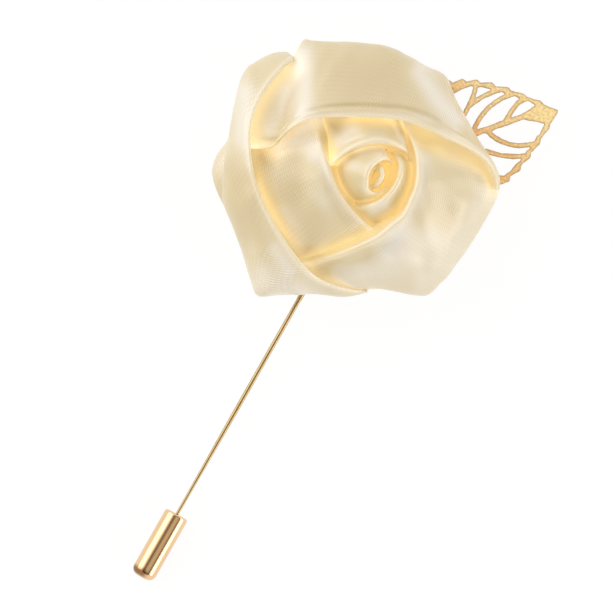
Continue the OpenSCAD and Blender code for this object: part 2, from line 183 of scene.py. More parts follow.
pick_none()
bpy.ops.mesh.primitive_cylinder_add(vertices=felt_sides, radius=felt_r, depth=felt_h,
                                    location=(0, 0, felt_h / 2))
felt = bpy.context.object
felt.name = "felt_backing"
apply_place(felt)
pick_none()
bpy.ops.mesh.primitive_cylinder_add(vertices=felt_sides, radius=pocket_r, depth=felt_h,
                                    location=(0, 0, pocket_floor + felt_h / 2))
cut_away(felt, bpy.context.object)
pick_none()
bpy.ops.mesh.primitive_cube_add(size=1, location=(0, groove_y, groove_floor + felt_h / 2))
groove = bpy.context.object
groove.scale = (2 * groove_half, groove_length, felt_h)
apply_place(groove)
cut_away(felt, groove)
apply_modifier(felt, "REMESH", mode="VOXEL", voxel_size=0.28 * MM)
apply_modifier(felt, "SMOOTH", factor=0.5, iterations=4)

fluff = bpy.data.textures.new("felt_fluff", "CLOUDS")
fluff.noise_scale = 0.7 * MM
fluff.noise_depth = 2
apply_modifier(felt, "DISPLACE", texture=fluff, strength=0.14 * MM, mid_level=0.75,
               texture_coords="LOCAL")
bpy.ops.object.shade_smooth()


def set_ramp(node, stops):
    """Gives a colour ramp its stops, each a position and a colour."""
    elements = node.color_ramp.elements
    for element, (position, colour) in zip(elements, (stops[0], stops[-1])):
        element.position = position
        element.color = colour
    for position, colour in stops[1:-1]:
        elements.new(position).color = colour


def product(tree, first, second):
    node = add_node(tree, "Math", {0: first, 1: second}, operation="MULTIPLY")
    return node.outputs["Value"]


felt_material, tree, shader = new_material("felt")
place = object_place(tree)
fibre = add_node(tree, "TexNoise", {
    "Vector": place, "Scale": 2600, "Detail": 6, "Distortion": 1.6}).outputs["Fac"]
patch = add_node(tree, "TexNoise", {"Vector": place, "Scale": 180}).outputs["Fac"]
tint = add_node(tree, "ValToRGB", {"Fac": product(tree, fibre, patch)})
set_ramp(tint, [(0.1, (0.62, 0.53, 0.38, 1)), (0.42, (0.86, 0.79, 0.64, 1))])
relief = add_node(tree, "Bump", {"Height": fibre, "Strength": 0.8, "Distance": 0.12 * MM})
set_inputs(shader, {
    "Base Color": tint.outputs["Color"],
    "Normal": relief.outputs["Normal"],
    "Roughness": 0.95,
    "Sheen Weight": 0.4})
dress(felt, felt_material)
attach(felt, "pin")
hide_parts("backing_disc")


# Leaf
# A thin leaf stamped out of brass sheet, pierced between its veins and gold plated with a
# grainy satin finish. It is clamped between the pad and the rose.

leaf_middle = (0, 0, 2.85 * MM)
leaf_voxel = 0.1 * MM

cad_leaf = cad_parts["leaf"]
leaf = cad_leaf.copy()
leaf.data = cad_leaf.data.copy()
leaf.name = "pierced_leaf"
for key in list(leaf.keys()):
    del leaf[key]
leaf.parent = None
bpy.context.scene.collection.objects.link(leaf)
make_active(leaf)
bpy.ops.object.mode_set(mode="EDIT")
bpy.ops.mesh.select_all(action="SELECT")
bpy.ops.mesh.remove_doubles(threshold=0.002 * MM)
bpy.ops.object.mode_set(mode="OBJECT")
apply_modifier(leaf, "REMESH", mode="VOXEL", voxel_size=leaf_voxel)
apply_modifier(leaf, "SMOOTH", factor=0.5, iterations=9)
# thinned first, because the grain makes it thicker again
bpy.ops.object.mode_set(mode="EDIT")
bpy.ops.mesh.select_all(action="SELECT")
bpy.ops.transform.resize(value=(1, 1, 0.7), center_override=leaf_middle)
bpy.ops.object.mode_set(mode="OBJECT")
hammer = bpy.data.textures.new("leaf_grain", "CLOUDS")
hammer.noise_scale = 0.9 * MM
hammer.noise_depth = 1
apply_modifier(leaf, "DISPLACE", texture=hammer, strength=0.2 * MM, mid_level=0.0,
               texture_coords="LOCAL")
bpy.ops.object.shade_smooth()

# the cut margins are rounded, and painted dark as shade as far as 0.2 mm in from the cut
level_face = 0.88
margin_spread = 2
spread_share = 0.75
normals = np.zeros(len(leaf.data.vertices) * 3)
leaf.data.vertices.foreach_get("normal", normals)
painted_margin_shade = np.clip((level_face - np.abs(normals[2::3])) / 0.5, 0, 1)
pairs = np.zeros(len(leaf.data.edges) * 2, int)
leaf.data.edges.foreach_get("vertices", pairs)
one, two = pairs[::2], pairs[1::2]
for _ in range(margin_spread):
    wider = painted_margin_shade.copy()
    np.maximum.at(wider, one, spread_share * painted_margin_shade[two])
    np.maximum.at(wider, two, spread_share * painted_margin_shade[one])
    painted_margin_shade = wider
leaf.data.attributes.new("painted_margin_shade", "FLOAT", "POINT").data.foreach_set("value", painted_margin_shade)


def scaled(tree, colour, share):
    node = add_node(tree, "VectorMath", {0: colour, "Scale": share}, operation="SCALE")
    return node.outputs["Vector"]


def attribute(tree, key):
    return add_node(tree, "Attribute", attribute_name=key).outputs["Fac"]


leaf_gold, tree, shader = new_material("leaf_gold")
place = object_place(tree)
grain = add_node(tree, "TexNoise", {
    "Vector": place, "Scale": 2600, "Detail": 4}).outputs["Fac"]
cloud = add_node(tree, "TexNoise", {
    "Vector": place, "Scale": 150, "Detail": 2}).outputs["Fac"]
# the colour is darker and redder close to the rose, with paler clouds
reach = add_node(tree, "VectorMath", {0: place}, operation="LENGTH").outputs["Value"]
plated = blended(tree, mapped(tree, reach, (20 * MM, 31 * MM)),
                 (0.90, 0.54, 0.25, 1), (1.0, 0.80, 0.38, 1))
plated = blended(tree, mapped(tree, cloud, (0.4, 0.75)), plated, (1.0, 0.84, 0.48, 1))
grainy = scaled(tree, plated, mapped(tree, grain, (0.35, 0.65), (0.80, 1.14)))
relief = add_node(tree, "Bump", {"Height": grain, "Strength": 1.0, "Distance": 0.12 * MM})
set_inputs(shader, {
    # painted shade darkens the cut margins
    "Base Color": blended(tree, attribute(tree, "painted_margin_shade"), grainy, (0.30, 0.18, 0.09, 1)),
    "Normal": relief.outputs["Normal"],
    "Roughness": mapped(tree, grain, to_range=(0.36, 0.6)),
    "Metallic": 0.35,
    # a faint painted glow lifts the whole leaf
    "Emission Color": (1.0, 0.66, 0.30, 1),
    "Emission Strength": 0.16})
dress(leaf, leaf_gold)
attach(leaf, "pin")
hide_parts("leaf")


# Bud core
# The rose is folded from satin ribbon, two layers thick. It starts as a tight oval roll in
# the middle. Every satin piece here is lofted from a short table, a row for each section.

# where the rose lies on the pad, in mm, and how far the photo turns it, in degrees
rose_at = np.array([-2.7, 0.0])
photo_turn = 29.6
rose_turn = radians(photo_turn)
# the middle of its stitched base, in the rose's own frame
base_at = np.array([2.3, -1.3])
# the wall of each piece, two layers of ribbon, and the usual radius of the fold along a rim
ribbon_wall = 0.32
fold_r = 0.42
roll_steps = 9


def spline_rows(rows, per_row):
    """Rows between the rows of a table, on a smooth curve through them all."""
    rows = np.array(rows, float)
    last = len(rows) - 1
    s = np.linspace(0, last, last * per_row + 1)
    i = np.minimum(s.astype(int), last - 1)
    f = (s - i)[:, None]
    p0, p1 = rows[np.maximum(i - 1, 0)], rows[i]
    p2, p3 = rows[i + 1], rows[np.minimum(i + 2, last)]
    return 0.5 * (2 * p1 + (p2 - p0) * f + (2 * p0 - 5 * p1 + 4 * p2 - p3) * f * f
                  + (3 * p1 - p0 - 3 * p2 + p3) * f ** 3)


def unit(v):
    return v / np.maximum(np.linalg.norm(v, axis=-1, keepdims=True), 1e-9)


def away_from_line(points, line):
    """Distance in plan from each point to a line of points, and the line's height there."""
    line = np.array(line, float)
    a, b = line[:-1], line[1:]
    ab = b[:, :2] - a[:, :2]
    t = ((points[:, None, :2] - a[None, :, :2]) * ab).sum(2) / (ab * ab).sum(1)
    t = np.clip(t, 0, 1)
    near = a[None, :, :2] + t[..., None] * ab
    d = np.linalg.norm(points[:, None, :2] - near, axis=2)
    k = d.argmin(1)
    rows = np.arange(len(points))
    high = a[k, -1] + t[rows, k] * (b[k, -1] - a[k, -1])
    return d[rows, k], high


def grid_normals(grid):
    return unit(np.cross(np.gradient(grid, axis=0), np.gradient(grid, axis=1)))


def satin_mesh(name, grid, painted_fold_glow, painted_tone, painted_spill, weave_turn, weave_shows):
    """A satin piece from a grid of points in the rose's frame, in mm: two layers of ribbon,
    with a UV map in mm along the threads, the share of painted yellow glow in its folds, the
    painted highlights and shade that make the satin look lighter or darker, the painted light
    spilling onto it from a petal above, and how far its weave shows."""
    m, n = grid.shape[:2]
    across = np.linalg.norm(np.diff(grid, axis=1), axis=2).mean(0)
    along = np.linalg.norm(np.diff(grid, axis=0), axis=2).mean(1)
    u = np.concatenate([[0], np.cumsum(along)])
    v = np.concatenate([[0], np.cumsum(across)])
    turn = radians(weave_turn)
    turned = np.array([[cos(rose_turn), -sin(rose_turn)], [sin(rose_turn), cos(rose_turn)]])
    points = grid.reshape(-1, 3).copy()
    points[:, :2] = points[:, :2] @ turned.T + rose_at
    faces = [(i * n + j, (i + 1) * n + j, (i + 1) * n + j + 1, i * n + j + 1)
             for i in range(m - 1) for j in range(n - 1)]
    mesh = bpy.data.meshes.new(name)
    mesh.from_pydata((points * MM).tolist(), [], faces)
    obj = bpy.data.objects.new(name, mesh)
    bpy.context.scene.collection.objects.link(obj)
    threads = mesh.uv_layers.new(name="threads")
    uu, vv = np.meshgrid(u, v, indexing="ij")
    flat = np.stack([uu * cos(turn) - vv * sin(turn), uu * sin(turn) + vv * cos(turn)], 2)
    flat = flat.reshape(-1, 2)
    corners = np.array([l.vertex_index for l in mesh.loops])
    threads.data.foreach_set("uv", flat[corners].ravel())
    for key, values in (("painted_fold_glow", painted_fold_glow), ("painted_tone", painted_tone), ("painted_spill", painted_spill),
                        ("ribs", np.full((m, n), weave_shows))):
        layer = mesh.attributes.new(key, "FLOAT", "POINT")
        layer.data.foreach_set("value", values.ravel())
    apply_modifier(obj, "SOLIDIFY", thickness=ribbon_wall * MM, offset=-1)
    bpy.ops.object.shade_smooth()
    obj["flat_mm"] = [float(v[-1]), float(u[-1])]
    return obj


def declare_satin(obj, node):
    dress(obj, satin)
    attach(obj, "pin")
    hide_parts(node)


def satin_material():
    """Cream satin: threads float along one way, so it is smooth and glossy, with fine ribs;
    painted highlights and shade, and a painted yellow glow for light bounced between its folds."""
    material, tree, shader = new_material("cream_satin")
    threads = add_node(tree, "UVMap", uv_map="threads").outputs["UV"]

    def combine(kind, first, second):
        node = add_node(tree, "Math", {0: first, 1: second}, operation=kind)
        return node.outputs["Value"]

    def wave(source, pitch):
        turns = product(tree, source, 2 * pi / pitch)
        return add_node(tree, "Math", {0: turns}, operation="SINE").outputs["Value"]

    def clouds(size, detail):
        node = add_node(tree, "TexNoise", {
            "Vector": threads, "Scale": size, "Detail": detail})
        return node.outputs["Fac"]

    # the weave: ribs that wander a little, crossed by the ends of the floats, in mm
    rib_pitch = 0.38
    float_pitch = 0.75
    split = add_node(tree, "SeparateXYZ", {"Vector": threads})
    drift = product(tree, clouds(0.35, 2), 0.9)
    ribs = wave(combine("ADD", split.outputs["X"], drift), rib_pitch)
    floats = wave(combine("ADD", split.outputs["Y"], product(tree, ribs, 0.08)), float_pitch)
    height = combine("ADD", product(tree, ribs, 0.5), product(tree, floats, 0.12))
    patches = clouds(0.16, 1)
    shown = mapped(tree, patches, (0.38, 0.60), (0.2, 1.0))
    weave = product(tree, product(tree, height, shown), attribute(tree, "ribs"))

    # painted highlights and shade make it lighter or darker, and a painted yellow glow sits deep
    # in the folds
    painted_sheen_share = mapped(tree, attribute(tree, "painted_tone"), (-1, 1))
    sheen = add_node(tree, "ValToRGB", {"Fac": painted_sheen_share})
    set_ramp(sheen, [(0.0, (0.72, 0.58, 0.315, 1)), (0.5, (0.81, 0.685, 0.42, 1)),
                     (1.0, (0.96, 0.905, 0.79, 1))])
    painted_fold_glow = attribute(tree, "painted_fold_glow")
    tint = blended(tree, painted_fold_glow, sheen.outputs["Color"], (0.86, 0.685, 0.35, 1))
    cloth = scaled(tree, tint, mapped(tree, weave, (-0.6, 0.6), (0.82, 1.07)))

    # painted light that the folds seem to throw onto each other: a yellow glow and plain light, as
    # emission
    glow = scaled(tree, (0.25, 0.21, 0.105), combine("POWER", painted_fold_glow, 1.3))
    painted_thrown_light = scaled(tree, cloth, product(tree, attribute(tree, "painted_spill"), 0.36))
    both = add_node(tree, "VectorMath", {0: glow, 1: painted_thrown_light}, operation="ADD")
    relief = add_node(tree, "Bump", {"Height": weave, "Strength": 0.4, "Distance": 0.05 * MM})
    set_inputs(shader, {
        "Base Color": cloth,
        "Normal": relief.outputs["Normal"],
        "Roughness": mapped(tree, patches, to_range=(0.28, 0.40)),
        "Emission Color": both.outputs["Vector"],
        "Emission Strength": 1.0,
        "IOR": 1.9,
        "Anisotropic": 0.5,
        "Sheen Weight": 0.12,
        "Sheen Roughness": 0.4})
    return material


satin = satin_material()


# Columns: rim x, y, z of the roll's upper edge
core_rows = [
    [2.75, -3.25, 17.6],
    [3.45, -2.85, 18.4],
    [4.05, -2.25, 19.0],
    [4.45, -1.50, 19.3],
    [4.50, -0.75, 19.3],
    [4.20,  0.00, 18.8],
    [3.70,  0.25, 17.4],
    [3.15,  0.00, 15.8],
    [2.95, -0.80, 14.8],
    [3.05, -1.60, 14.6],
    [3.45, -2.00, 14.6],
    [3.75, -1.50, 14.6],
]


def rolled_ribbon(name, rows, height, half, close, flare):
    """A standing strip of folded ribbon: up its inner side, over the fold, down outside.
    half is half its thickness, close is how far the inner side leans in at the foot, and
    flare how far the outer side goes out."""
    rows_between = 8
    side_steps = 14
    line = spline_rows(rows, rows_between)
    ahead = unit(np.gradient(line[:, :2], axis=0))
    out = np.stack([-ahead[:, 1], ahead[:, 0]], 1)
    down = np.linspace(1, 0, side_steps)
    arc = np.linspace(pi, 0, roll_steps)
    side = np.concatenate([-half - close * down ** 1.5, half * np.cos(arc[1:-1]),
                           half + flare * down[::-1] ** 2])
    low = np.concatenate([-height * down, half * np.sin(arc[1:-1]), -height * down[::-1]])
    grid = np.zeros((len(line), len(side), 3))
    grid[..., :2] = line[:, None, :2] + out[:, None, :] * side[None, :, None]
    grid[..., 2] = line[:, None, 2] - half + low[None, :]
    # painted yellow glow down its sides, and a painted highlight and plain light along the fold
    rows_of = lambda values: np.tile(values, (len(line), 1))
    painted_fold_glow = rows_of(np.clip(-low / 1.5, 0, 1) * 0.5 + 0.3)
    top = rows_of(np.exp(low / 0.6))
    return satin_mesh(name, grid, painted_fold_glow, painted_tone=0.5 * top, painted_spill=0.1 * top,
                      weave_turn=20, weave_shows=0.3)


core = rolled_ribbon("bud_roll", core_rows, height=7.0, half=0.36, close=0.55, flare=3.2)
declare_satin(core, "bud_core")


# Petals
# Each petal is a length of ribbon folded in two along its rim, wrapped round the ones inside
# it, and stitched at the base. Its edge goes over the next petal's and under at the back.

# Columns: rim x, y, z, edge x, y, z, slope of the face at the rim, depth of the inner wall,
# share of the underside that is there
wrap_rows = [
    [  5.0,  -3.4, 16.0,   4.2,  -5.4, 12.0, 40, 1.5, 1.0],
    [  4.0,  -3.9, 17.6,   2.4,  -6.0, 12.0, 35, 2.5, 1.0],
    [  2.9,  -4.0, 19.0,  -0.1,  -5.6, 12.0, 30, 3.5, 1.0],
    [  2.3,  -3.5, 19.8,  -1.9,  -4.2, 12.0, 25, 4.0, 1.0],
    [  2.2,  -2.7, 20.3,  -2.9,  -2.3, 12.0, 25, 4.5, 1.0],
    [  2.2,  -1.7, 20.6,  -3.2,  -0.2, 12.0, 25, 4.5, 1.0],
    [  2.5,  -0.7, 20.6,  -2.6,   1.8, 12.2, 25, 4.5, 1.0],
    [  3.0,   0.1, 20.4,  -0.8,   3.3, 12.6, 25, 4.5, 1.0],
    [  3.8,   0.8, 20.0,   2.0,   4.1, 13.0, 30, 4.0, 1.0],
    [  4.8,   1.3, 19.3,   4.4,   3.9, 13.2, 35, 3.0, 1.0],
    [  6.0,   1.1, 18.0,   5.1,   2.7, 13.8, 40, 2.0, 1.0],
]
inner_right_rows = [
    [  5.7,   3.0, 13.6,   7.8,   3.5, 10.6, 40, 1.0, 1.0],
    [  6.6,   2.2, 16.7,   8.8,   2.0, 11.6, 40, 3.0, 1.0],
    [  7.2,   0.8, 18.3,   9.7,   0.2, 12.4, 40, 4.6, 1.0],
    [  7.2,  -0.8, 18.8,   9.6,  -2.4, 12.6, 40, 5.2, 1.0],
    [  6.7,  -2.3, 19.0,   8.8,  -4.8, 12.8, 38, 5.2, 1.0],
    [  5.7,  -3.8, 18.8,   7.4,  -6.9, 12.8, 34, 4.8, 1.0],
    [  4.2,  -5.2, 18.4,   5.4,  -8.6, 12.6, 30, 4.0, 1.0],
    [  2.3,  -6.0, 17.4,   3.0,  -9.5, 12.0, 28, 3.4, 1.0],
    [  0.5,  -6.3, 15.4,   0.8,  -9.2, 11.2, 28, 2.4, 1.0],
    [ -1.2,  -5.8, 13.6,  -1.2,  -8.4, 10.6, 28, 1.4, 1.0],
]
inner_top_rows = [
    [ -5.2,  -0.8, 14.4,  -6.0,   8.4, 11.0, 40, 2.2, 1.0],
    [ -4.2,   0.2, 16.8,  -4.3,   9.0, 12.2, 40, 4.0, 1.0],
    [ -2.8,   1.4, 18.0,  -2.6,   9.6, 12.4, 40, 5.0, 1.0],
    [ -1.2,   2.6, 19.2,  -0.8,  10.0, 12.8, 38, 5.2, 1.0],
    [  0.8,   3.5, 19.8,   1.2,  10.2, 12.8, 36, 5.4, 1.0],
    [  3.0,   4.0, 20.0,   3.2,  10.2, 12.8, 36, 5.4, 1.0],
    [  5.2,   4.0, 19.8,   5.0,   9.8, 12.6, 36, 5.0, 1.0],
    [  7.0,   3.4, 19.0,   6.6,   8.8, 12.8, 38, 4.2, 1.0],
    [  8.4,   2.6, 17.9,   7.9,   7.2, 12.6, 40, 3.2, 1.0],
    [  8.9,   1.9, 16.6,   8.8,   5.4, 12.4, 40, 2.0, 1.0],
    [  9.4,   0.9, 14.4,  10.0,   3.0, 12.0, 40, 1.2, 1.0],
]
inner_left_rows = [
    [  4.0, -10.8, 14.8,  -5.0, -15.6, 10.4, 15, 1.4, 1.0],
    [  2.3,  -9.6, 16.6,  -8.4, -15.6, 10.6, 15, 3.2, 1.0],
    [  0.5,  -8.0, 17.8, -10.9, -14.3, 11.4, 15, 3.8, 1.0],
    [ -1.3,  -5.9, 18.4, -13.2, -12.0, 12.0, 15, 4.6, 1.0],
    [ -2.8,  -3.5, 18.6, -15.2,  -9.0, 12.4, 15, 5.0, 1.0],
    [ -4.0,  -0.5, 18.4, -16.6,  -5.6, 12.8, 15, 4.6, 1.0],
    [ -4.9,   2.2, 17.8, -17.4,  -2.3, 12.8, 15, 3.0, 1.0],
    [ -5.7,   4.7, 16.8, -17.6,   1.0, 12.2, 15, 2.0, 1.0],
    [ -6.3,   7.2, 15.0, -17.0,   4.2, 11.2, 15, 1.6, 1.0],
    [ -6.7,   9.0, 13.2, -15.8,   6.6, 10.4, 15, 1.2, 1.0],
]
outer_right_rows = [
    [  7.8,   8.0, 13.2,  18.0,   5.0,  9.0, 30, 1.0, 1.0],
    [  8.3,   6.6, 15.0,  20.4,   2.9,  8.0, 30, 2.4, 1.0],
    [  9.2,   4.7, 17.0,  22.9,  -0.3,  6.8, 28, 4.0, 1.0],
    [ 10.0,   2.2, 18.3,  24.0,  -3.8,  6.2, 26, 5.0, 1.0],
    [ 10.2,  -0.3, 18.8,  22.6,  -7.2,  6.4, 24, 5.5, 1.0],
    [  9.9,  -2.9, 19.0,  20.8, -10.3,  6.6, 24, 5.5, 1.0],
    [  9.1,  -5.0, 19.0,  18.8, -13.5,  6.8, 24, 5.5, 1.0],
    [  7.8,  -7.6, 19.0,  16.7, -16.3,  7.0, 26, 5.0, 1.0],
    [  5.8,  -9.3, 19.0,  14.5, -18.9,  7.0, 28, 4.4, 1.0],
    [  3.7, -11.0, 18.7,  12.3, -21.1,  7.0, 32, 3.0, 1.0],
    [  1.5, -12.2, 18.3,   9.8, -21.2,  7.2, 36, 3.0, 1.0],
    [ -0.8, -13.2, 17.7,   7.2, -20.7,  7.6, 40, 3.0, 1.0],
    [ -3.3, -14.2, 16.7,   4.2, -20.2,  8.0, 40, 2.6, 1.0],
    [ -5.8, -15.0, 15.2,   1.4, -20.4,  8.6, 38, 2.0, 1.0],
    [ -8.0, -15.8, 13.8,  -2.4, -20.0, 10.0, 34, 1.4, 1.0],
    [ -9.7, -16.2, 12.8,  -5.6, -19.2, 11.2, 30, 1.0, 1.0],
]
outer_top_rows = [
    [-19.2,   3.3, 14.2, -13.4,  18.2,  9.6, 20, 0.4, 1.0],
    [-17.4,   3.2, 15.0, -10.6,  18.4, 10.4, 20, 0.6, 1.0],
    [-15.5,   3.2, 15.8,  -8.7,  21.3,  8.6, 20, 1.2, 1.0],
    [-13.8,   3.3, 16.6,  -7.2,  21.3,  8.6, 20, 1.6, 1.0],
    [-12.5,   4.7, 17.3,  -5.5,  21.2,  8.6, 20, 1.8, 1.0],
    [-10.8,   6.4, 18.3,  -3.6,  21.1,  8.6, 20, 2.0, 1.0],
    [ -8.3,   7.7, 19.0,  -0.8,  21.1,  8.6, 20, 2.2, 1.0],
    [ -5.0,   8.3, 19.3,   2.2,  20.8,  8.6, 20, 2.8, 1.0],
    [ -0.8,   8.4, 19.3,   5.2,  20.4,  8.6, 20, 3.2, 1.0],
    [  3.8,   8.2, 19.2,   8.4,  18.9,  8.4, 20, 3.2, 1.0],
    [  8.3,   7.7, 18.8,  11.8,  17.1,  8.0, 22, 3.0, 1.0],
    [ 12.2,   6.2, 18.0,  15.3,  15.2,  7.6, 24, 2.0, 1.0],
    [ 15.3,   4.7, 16.8,  16.8,  11.4,  7.4, 28, 1.8, 1.0],
    [ 18.0,   3.5, 15.3,  18.8,   7.7,  7.6, 32, 1.5, 0.5],
    [ 20.5,   1.9, 13.6,  21.4,   3.6,  8.8, 36, 1.2, 0.15],
    [ 22.2,   0.2, 12.3,  23.2,   0.8,  9.2, 40, 0.7, 0.1],
    [ 23.1,  -1.8, 11.2,  24.1,  -1.8,  9.2, 40, 0.5, 0.1],
    [ 23.3,  -3.6, 10.4,  24.1,  -3.6,  9.0, 40, 0.4, 0.05],
]
outer_left_rows = [
    [  2.0, -20.3,  9.2,   2.0, -20.6,  8.4, 45, 0.1, 1.0],
    [  0.9, -20.2,  9.9,   0.6, -21.1,  7.2, 45, 0.2, 1.0],
    [ -1.2, -19.9, 11.2,  -2.2, -21.5,  6.2, 45, 0.3, 1.0],
    [ -4.0, -19.2, 13.2,  -7.0, -21.0,  6.4, 42, 0.4, 1.0],
    [ -6.2, -18.2, 15.0, -12.8, -21.2,  6.6, 38, 0.8, 1.0],
    [ -7.8, -16.9, 16.4, -16.2, -21.3,  6.8, 34, 2.0, 1.0],
    [ -9.3, -15.2, 17.3, -17.4, -18.8,  7.2, 30, 2.4, 1.0],
    [-11.2, -12.6, 17.8, -18.8, -14.2,  8.0, 28, 2.8, 1.0],
    [-13.3,  -9.2, 18.0, -20.4,  -9.8,  8.8, 28, 3.0, 1.0],
    [-15.3,  -5.2, 18.0, -22.1,  -5.2,  9.4, 28, 3.0, 1.0],
    [-16.7,  -1.2, 18.0, -21.9,   0.2,  9.6, 30, 2.8, 1.0],
    [-17.3,   2.7, 18.0, -21.0,   5.8,  9.4, 35, 2.0, 1.0],
    [-17.3,   6.5, 17.8, -20.2,  10.2,  9.0, 40, 1.6, 1.0],
    [-16.3,  10.2, 17.2, -19.0,  15.0,  8.6, 40, 1.5, 1.0],
    [-14.3,  13.6, 16.0, -16.8,  17.6,  8.2, 40, 1.3, 1.0],
    [-11.8,  16.6, 14.2, -13.6,  19.2,  8.0, 40, 1.0, 1.0],
    [-10.0,  18.1, 12.2, -11.2,  19.4,  8.0, 40, 0.8, 1.0],
]
back_left_rows = [
    [-18.4,  -6.2,  5.4, -21.6,  -6.8,  3.2, 10, 0.6, 1.0],
    [-19.2,  -4.0,  5.7, -23.0,  -4.0,  3.2, 10, 0.6, 1.0],
    [-19.6,  -1.8,  5.8, -23.8,  -1.4,  3.2, 10, 0.6, 1.0],
    [-19.8,   0.2,  5.8, -23.8,   0.2,  3.2, 10, 0.6, 1.0],
    [-19.4,   2.4,  5.8, -23.0,   2.4,  3.2, 10, 0.6, 1.0],
    [-18.8,   5.0,  5.8, -21.4,   4.6,  3.2, 10, 0.6, 1.0],
    [-18.6,   7.4,  5.7, -20.6,   6.6,  3.2, 10, 0.6, 1.0],
]


def bezier(a, b, c, d, t):
    t = t[None, :, None]
    a, b, c, d = (x[:, None, :] for x in (a, b, c, d))
    return (1 - t) ** 3 * a + 3 * (1 - t) ** 2 * t * b + 3 * (1 - t) * t * t * c + t ** 3 * d


# rows between two rows of a table, and steps across the inner wall, face and underside
rows_between = 11
wall_steps = 12
face_steps = 55
under_steps = 24
# a rolled border's ridge and the groove behind it: how far from the rim, and how wide, in mm
ridge_at, ridge_width = 0.75, 0.4
groove_at, groove_width = 1.65, 0.42
# small waves in the ribbon, and the pleats where it is gathered, in mm
wave_count = 7
wave_height = 0.012
pleat_pitch = 2.6
pleat_height = 0.2
# the depth from which the painted yellow glow on the wall of a fold is full, in mm
full_glow_depth = 2.4
# how far the painted highlight along the rim reaches down the wall and out on the face, in mm
rim_light_inside = 0.4
rim_light_outside = 0.45


